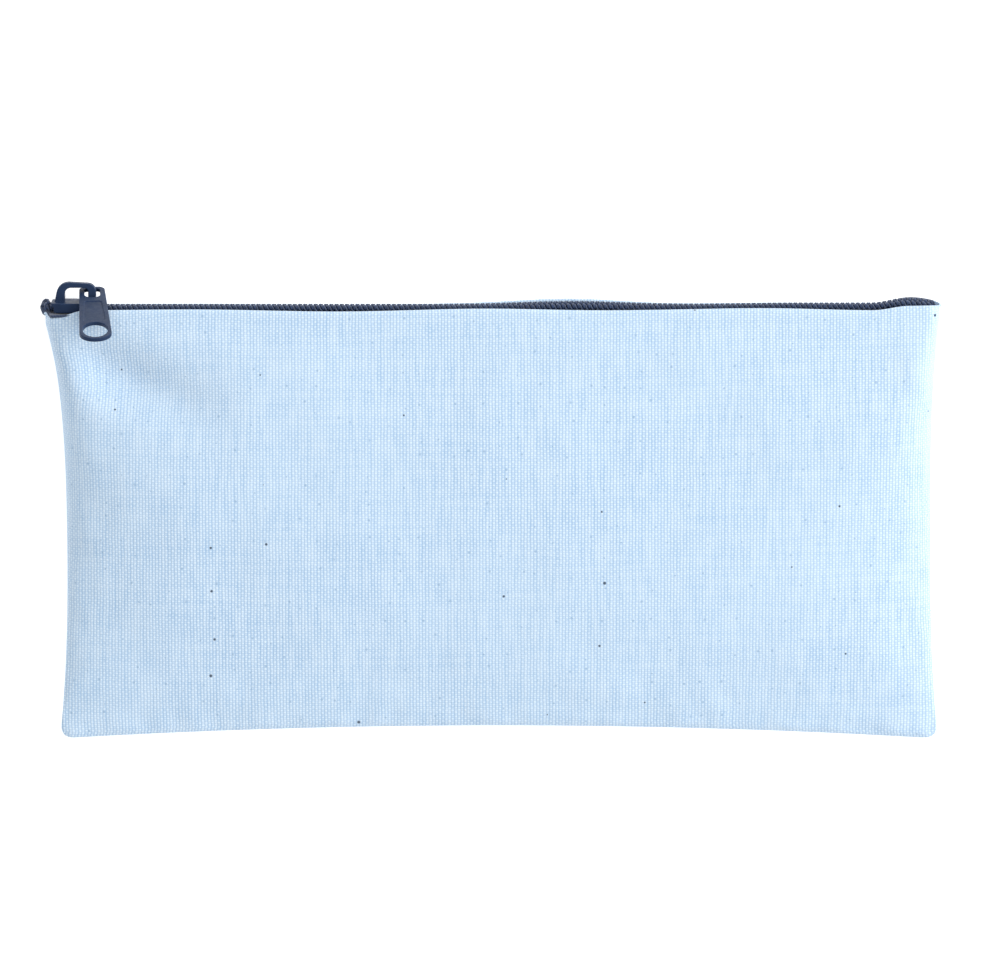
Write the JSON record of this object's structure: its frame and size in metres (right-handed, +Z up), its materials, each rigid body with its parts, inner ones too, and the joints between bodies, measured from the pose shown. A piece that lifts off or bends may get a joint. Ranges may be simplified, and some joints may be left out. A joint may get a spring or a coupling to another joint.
{
  "type": "pencil case",
  "caption": "Flat zipped pencil case of woven cotton, with a coil zip along the top edge and a slider that carries a swinging puller.",
  "frame": {"origin": "underside of the back panel, in the middle of its flat resting area", "axes": "+X along the zip towards its stitched end, +Y from the bottom seam to the zip, +Z up through the thickness with the case on its back"},
  "size_m": [0.2069, 0.1053, 0.0308],
  "materials": {
    "canvas": "plain woven cotton canvas, pale blue",
    "zip_tape": "twill woven polyester tape, slate navy",
    "zip_coil": "nylon monofilament, slate navy",
    "zip_thread": "polyester thread, slate navy",
    "sewing_thread": "polyester thread, pale blue",
    "slider_lacquer": "satin slate lacquer on die cast zinc"
  },
  "bodies": {
    "pouch": {"front_panel": "canvas", "back_panel": "canvas", "front_tape": "zip_tape", "back_tape": "zip_tape", "front_coil": "zip_coil", "back_coil": "zip_coil", "front_coil_thread": "zip_thread", "back_coil_thread": "zip_thread", "front_zip_seam": "sewing_thread", "back_zip_seam": "sewing_thread", "left_seam": "sewing_thread", "right_seam": "sewing_thread", "bottom_seam": "sewing_thread"},
    "slider": {"slider": "slider_lacquer"},
    "puller": {"puller": "slider_lacquer"}
  },
  "joints": [
    {"name": "slider_run", "type": "slide", "parent": "pouch", "child": "slider", "axis": [1, 0, 0], "range_m": [0, 0.176]},
    {"name": "puller_swing", "type": "hinge", "parent": "slider", "child": "puller", "pos_m": [-0.09355, 0.05358, 0.00748], "axis": [0, 0.8988, 0.4384], "range_deg": [-20, 180]}
  ]
}
